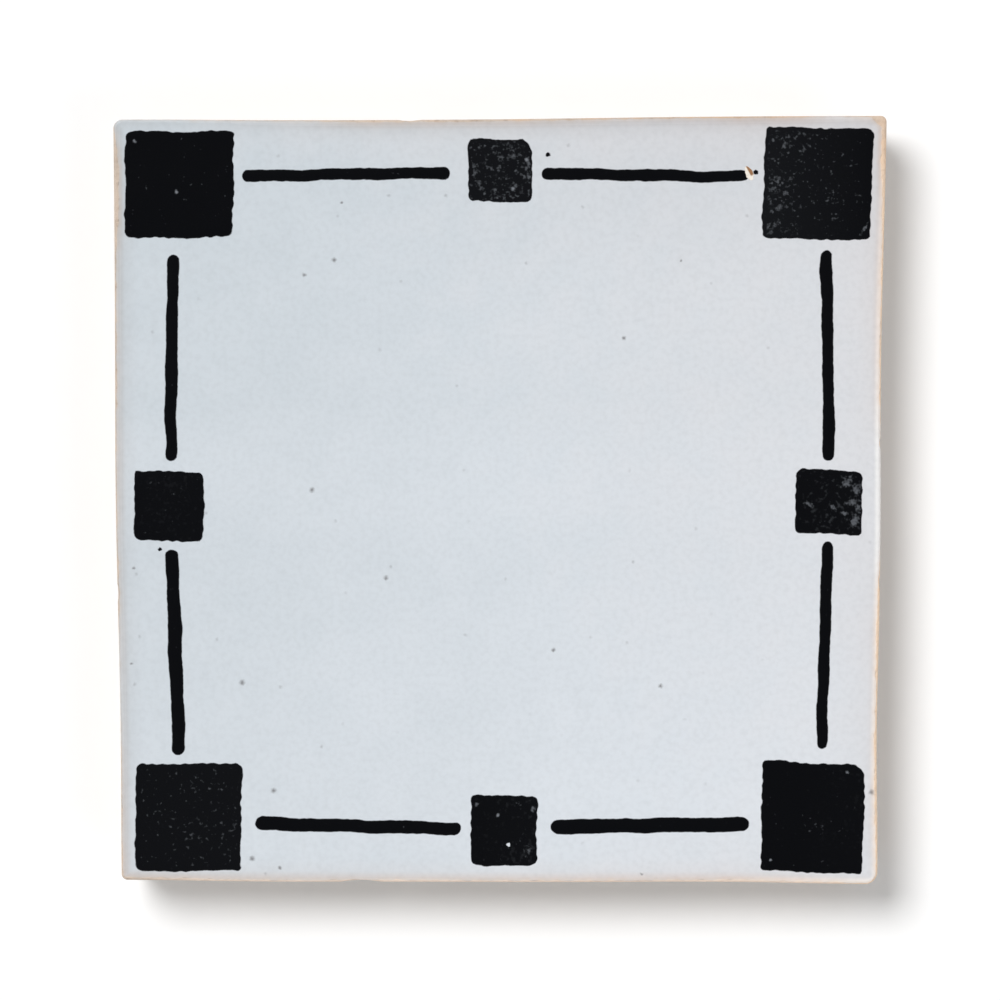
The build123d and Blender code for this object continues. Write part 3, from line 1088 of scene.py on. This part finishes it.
def glazed_clay():
    """White glaze, black glaze where it is painted, and clay where the glaze is gone."""
    material = bpy.data.materials.new("glazed_clay")
    material.use_nodes = True
    graph = Graph(material.node_tree)
    coat = Coat(graph)

    # Both glazes, then the clay, seen faintly through the thin edge of the glaze
    thin = thinned(graph, coat)
    black = graph.blend(thin, paint(BLACK_GLAZE), paint(BLACK_THIN))
    black_share = coat.painted.step(*PAINT_EDGE) * (1 - coat.dot(graph, WHITE_SPECK, WHITE_REACH))
    glaze = graph.blend(black_share, white_glaze(graph, coat), black)
    flaked, flake_colour = dash_flake(graph, coat)
    clay = graph.blend(flaked, bare_clay(graph, coat), flake_colour)
    bare = coat.depth.most((coat.x + coat.y - WORN_CORNER) * CORNER_SLOPE)
    fray = graph.noise(coat.place, FRAY_LENGTH, 1.0) - 0.5
    bare = bare + fray * EDGE_FRAY + coat.speckle * EDGE_SPECKLE
    glaze = graph.blend(bare.step(*CLAY_THROUGH) * CLAY_THROUGH_SHARE, glaze, clay)
    clay_share = bare.step(*CLAY_EDGE).most(flaked)
    colour = graph.blend(clay_share, glaze, clay)
    # Painted shade: the rim that faces the key light, mostly on the far and left sides, is greyed
    painted_rim_shade = coat.shade * coat.rim(PAINTED_SHADE_SHARES) * coat.on_top
    colour = graph.blend(painted_rim_shade * (1 - clay_share * CLAY_SHADE_LESS), colour, paint(PAINTED_SHADE_GREY), "MULTIPLY")

    # Gloss and fine relief: the arris is less glossy where it is dulled
    dulled = coat.way_in.step(*ROUGH_RIM) * coat.shade
    glaze_rough = GLAZE_ROUGH + coat.mottle * ROUGH_MOTTLE + dulled * ROUGH_DULLED + thin * ROUGH_THIN
    roughness = glaze_rough + (CLAY_ROUGH - glaze_rough) * clay_share
    glaze_bump = graph.noise(coat.place, DIMPLE_LENGTH, 0.0) * GLAZE_DIMPLES
    clay_bump = (coat.grit - 0.5) * CLAY_GRAIN
    height = glaze_bump + (clay_bump - glaze_bump) * clay_share
    bump = graph.node("ShaderNodeBump", {}, {"Height": height, "Distance": MM, "Strength": 1.0})
    sockets = {"Base Color": colour, "Roughness": roughness, "Normal": bump.outputs[0], "IOR": GLAZE_IOR}
    shader = graph.node("ShaderNodeBsdfPrincipled", {}, sockets)
    graph.node("ShaderNodeOutputMaterial", {}, {"Surface": shader.outputs[0]})
    return material


def make_floor():
    """A wide white floor just under the tile."""
    reach = FLOOR_REACH
    corners = np.array([(-reach, -reach), (reach, -reach), (reach, reach), (-reach, reach)])
    points = np.column_stack([corners, np.full(4, -FLOOR_GAP)])
    floor = new_mesh("floor", points, [(0, 1, 2, 3)], {})
    material = bpy.data.materials.new("white_floor")
    material.use_nodes = True
    graph = Graph(material.node_tree)
    shader = graph.node("ShaderNodeBsdfDiffuse", {}, {"Color": (1, 1, 1, 1)})
    graph.node("ShaderNodeOutputMaterial", {}, {"Surface": shader.outputs[0]})
    floor.data.materials.append(material)
    return floor


def add_sun(name, source, spread, strength):
    """A soft lamp far away in the direction of source."""
    data = bpy.data.lights.new(name, "SUN")
    data.energy = strength
    data.angle = radians(spread)
    lamp = bpy.data.objects.new(name, data)
    lamp.rotation_mode = "QUATERNION"
    lamp.rotation_quaternion = Vector(source).to_track_quat("Z", "Y")
    bpy.context.scene.collection.objects.link(lamp)


def light_studio():
    """A light tent with an opening overhead, where the camera is, a soft key and a weaker fill from
    the other side."""
    world = bpy.data.worlds.new("light_tent")
    world.use_nodes = True
    graph = Graph(world.node_tree)
    direction = graph.node("ShaderNodeTexCoord", {}, {}).outputs["Generated"]
    up = Value(graph, graph.node("ShaderNodeSeparateXYZ", {}, {0: direction}).outputs["Z"])
    wall = TENT_LEVEL + TENT_RISE * up.step(*TENT_WALL)
    opening = up.step(*TENT_OPENING)
    tent = wall * (1 - opening) + opening * OPENING_LEVEL
    shader = graph.node("ShaderNodeBackground", {}, {"Color": (1, 1, 1, 1), "Strength": tent})
    graph.node("ShaderNodeOutputWorld", {}, {"Surface": shader.outputs[0]})
    bpy.context.scene.world = world
    add_sun("key", KEY_FROM, KEY_SPREAD, KEY_STRENGTH)
    add_sun("fill", FILL_FROM, FILL_SPREAD, FILL_STRENGTH)


def place_camera():
    """Straight above the tile's middle, with +Y up in the picture."""
    data = bpy.data.cameras.new("camera")
    data.lens = CAMERA_LENS
    data.sensor_width = CAMERA_SENSOR
    camera = bpy.data.objects.new("camera", data)
    distance = VIEW_WIDTH * CAMERA_LENS / CAMERA_SENSOR
    camera.location = (0, 0, (TILE_THICKNESS + distance) * MM)
    data.clip_start = CAMERA_CLIP * MM
    bpy.context.scene.collection.objects.link(camera)
    bpy.context.scene.camera = camera


tile = make_tile()
tile.data.materials.append(glazed_clay())
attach(tile, "root")
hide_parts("tile")
make_floor()
light_studio()
place_camera()
bpy.context.scene.view_settings.view_transform = "Standard"
